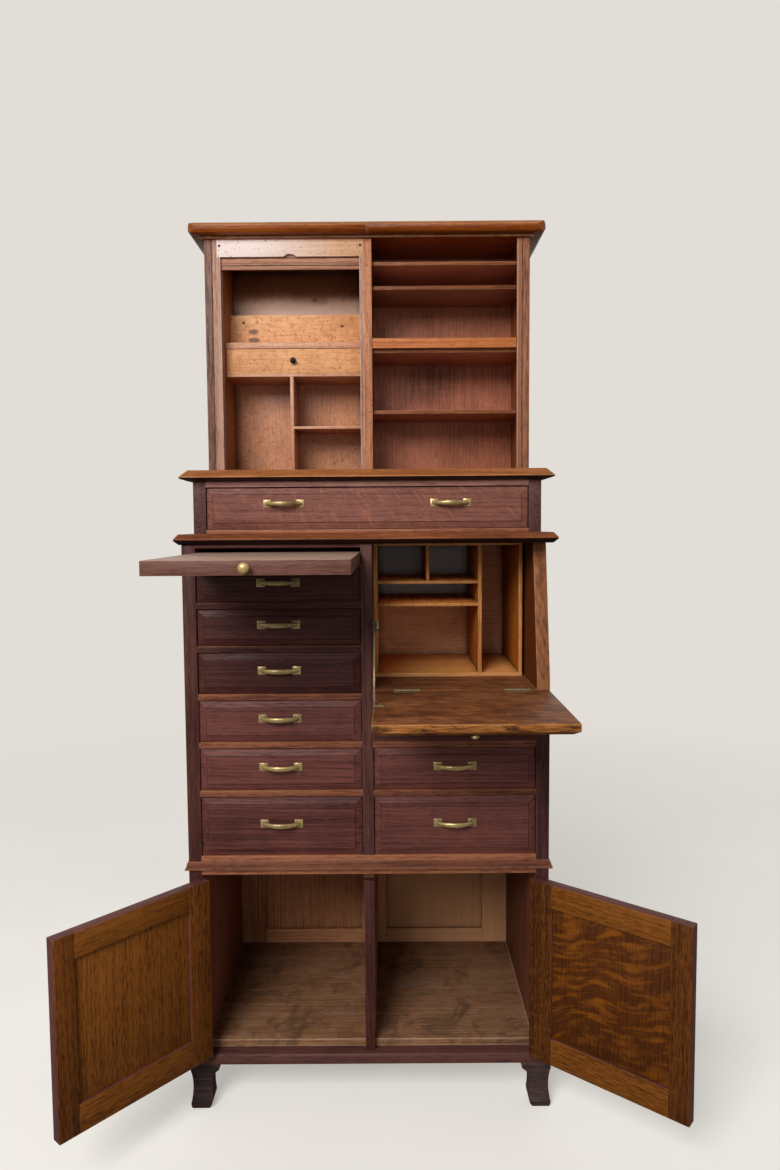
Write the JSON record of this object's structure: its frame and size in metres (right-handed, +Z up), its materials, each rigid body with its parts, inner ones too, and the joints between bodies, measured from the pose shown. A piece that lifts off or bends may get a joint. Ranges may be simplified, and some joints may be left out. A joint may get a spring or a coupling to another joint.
{
  "type": "stepped secretaire cabinet",
  "caption": "Tall stepped oak cabinet on short feet with a slant-front desk, drawers, a double cupboard, a writing slide, a tambour bay and open shelves.",
  "frame": {"origin": "on the floor under the middle of the lower case", "axes": "+X to the viewer's right, +Y to the back of the cabinet, +Z up"},
  "size_m": [1.1738, 0.861, 1.919],
  "materials": {
    "dark_oak": "old dark stain, waxed",
    "worn_oak": "worn stain, waxed",
    "golden_oak": "quarter-sawn, waxed",
    "honey_oak": "unstained, matte",
    "dark_knob": "polished",
    "aged_brass": "aged, unpolished"
  },
  "bodies": {
    "case": {"feet": "dark_oak", "plinth_frame": "dark_oak", "lower_sides": "dark_oak", "cupboard_floor": "honey_oak", "cupboard_divider": "honey_oak", "mid_rail": "dark_oak", "column_divider": "dark_oak", "drawer_rails": "dark_oak", "desk_bed": "worn_oak", "desk_hinges_and_guide": "aged_brass", "desk_pigeonholes": "honey_oak", "lower_back": "honey_oak", "lower_top": "dark_oak", "waist_case": "dark_oak", "waist_top": "dark_oak", "upper_sides": "worn_oak", "upper_divider": "worn_oak", "upper_back": "honey_oak", "cornice": "worn_oak", "right_shelves": "honey_oak", "bay_linings": "honey_oak", "bay_partitions": "honey_oak", "tambour_frame": "worn_oak", "tambour_curtain": "worn_oak", "case_hinges": "aged_brass"},
    "left_door": {"left_door_frame": "golden_oak", "left_door_panel": "golden_oak", "left_door_hinges": "aged_brass"},
    "right_door": {"right_door_frame": "golden_oak", "right_door_panel": "golden_oak", "right_door_hinges": "aged_brass", "right_door_knob": "aged_brass"},
    "desk_flap": {"flap": "worn_oak", "flap_hinges": "aged_brass", "flap_stay": "aged_brass", "flap_knob": "aged_brass"},
    "writing_slide": {"writing_slide": "dark_oak", "writing_slide_knob": "aged_brass"},
    "waist_drawer": {"waist_drawer": "dark_oak", "waist_pulls": "aged_brass"},
    "inner_drawer": {"inner_drawer": "honey_oak", "inner_drawer_knob": "dark_knob"},
    "shelf_tray": {"shelf_tray": "honey_oak"},
    "tambour": {"tambour_lead_rail": "worn_oak"},
    "left_drawer_1": {"left_drawer_1": "dark_oak", "left_pull_1": "aged_brass"},
    "left_drawer_2": {"left_drawer_2": "dark_oak", "left_pull_2": "aged_brass"},
    "left_drawer_3": {"left_drawer_3": "dark_oak", "left_pull_3": "aged_brass"},
    "left_drawer_4": {"left_drawer_4": "dark_oak", "left_pull_4": "aged_brass"},
    "left_drawer_5": {"left_drawer_5": "dark_oak", "left_pull_5": "aged_brass"},
    "left_drawer_6": {"left_drawer_6": "dark_oak", "left_pull_6": "aged_brass"},
    "right_drawer_1": {"right_drawer_1": "dark_oak", "right_pull_1": "aged_brass"},
    "right_drawer_2": {"right_drawer_2": "dark_oak", "right_pull_2": "aged_brass"}
  },
  "joints": [
    {"name": "left_door_hinge", "type": "hinge", "parent": "case", "child": "left_door", "pos_m": [-0.34725, -0.2331, 0.31525], "axis": [0, 0, -1], "range_deg": [-131.7, 38.3]},
    {"name": "right_door_hinge", "type": "hinge", "parent": "case", "child": "right_door", "pos_m": [0.34725, -0.2331, 0.31525], "axis": [0, 0, 1], "range_deg": [-140.8, 29.2]},
    {"name": "desk_flap_hinge", "type": "hinge", "parent": "case", "child": "desk_flap", "pos_m": [0.1935, -0.234, 0.895], "axis": [1, 0, 0], "range_deg": [-101.08, 0]},
    {"name": "writing_slide_slide", "type": "slide", "parent": "case", "child": "writing_slide", "axis": [0, -1, 0], "range_m": [-0.38, 0]},
    {"name": "waist_drawer_slide", "type": "slide", "parent": "case", "child": "waist_drawer", "axis": [0, -1, 0], "range_m": [0, 0.23]},
    {"name": "inner_drawer_slide", "type": "slide", "parent": "case", "child": "inner_drawer", "axis": [0, -1, 0], "range_m": [0, 0.08]},
    {"name": "shelf_tray_slide", "type": "slide", "parent": "case", "child": "shelf_tray", "axis": [0, -1, 0], "range_m": [0, 0.11]},
    {"name": "tambour_slide", "type": "slide", "parent": "case", "child": "tambour", "axis": [0, 0, 1], "range_m": [-0.4707, 0], "deforming": ["tambour_curtain"]},
    {"name": "left_drawer_1_slide", "type": "slide", "parent": "case", "child": "left_drawer_1", "axis": [0, -1, 0], "range_m": [0, 0.3]},
    {"name": "left_drawer_2_slide", "type": "slide", "parent": "case", "child": "left_drawer_2", "axis": [0, -1, 0], "range_m": [0, 0.3]},
    {"name": "left_drawer_3_slide", "type": "slide", "parent": "case", "child": "left_drawer_3", "axis": [0, -1, 0], "range_m": [0, 0.3]},
    {"name": "left_drawer_4_slide", "type": "slide", "parent": "case", "child": "left_drawer_4", "axis": [0, -1, 0], "range_m": [0, 0.3]},
    {"name": "left_drawer_5_slide", "type": "slide", "parent": "case", "child": "left_drawer_5", "axis": [0, -1, 0], "range_m": [0, 0.3]},
    {"name": "left_drawer_6_slide", "type": "slide", "parent": "case", "child": "left_drawer_6", "axis": [0, -1, 0], "range_m": [0, 0.3]},
    {"name": "right_drawer_1_slide", "type": "slide", "parent": "case", "child": "right_drawer_1", "axis": [0, -1, 0], "range_m": [0, 0.3]},
    {"name": "right_drawer_2_slide", "type": "slide", "parent": "case", "child": "right_drawer_2", "axis": [0, -1, 0], "range_m": [0, 0.3]}
  ]
}
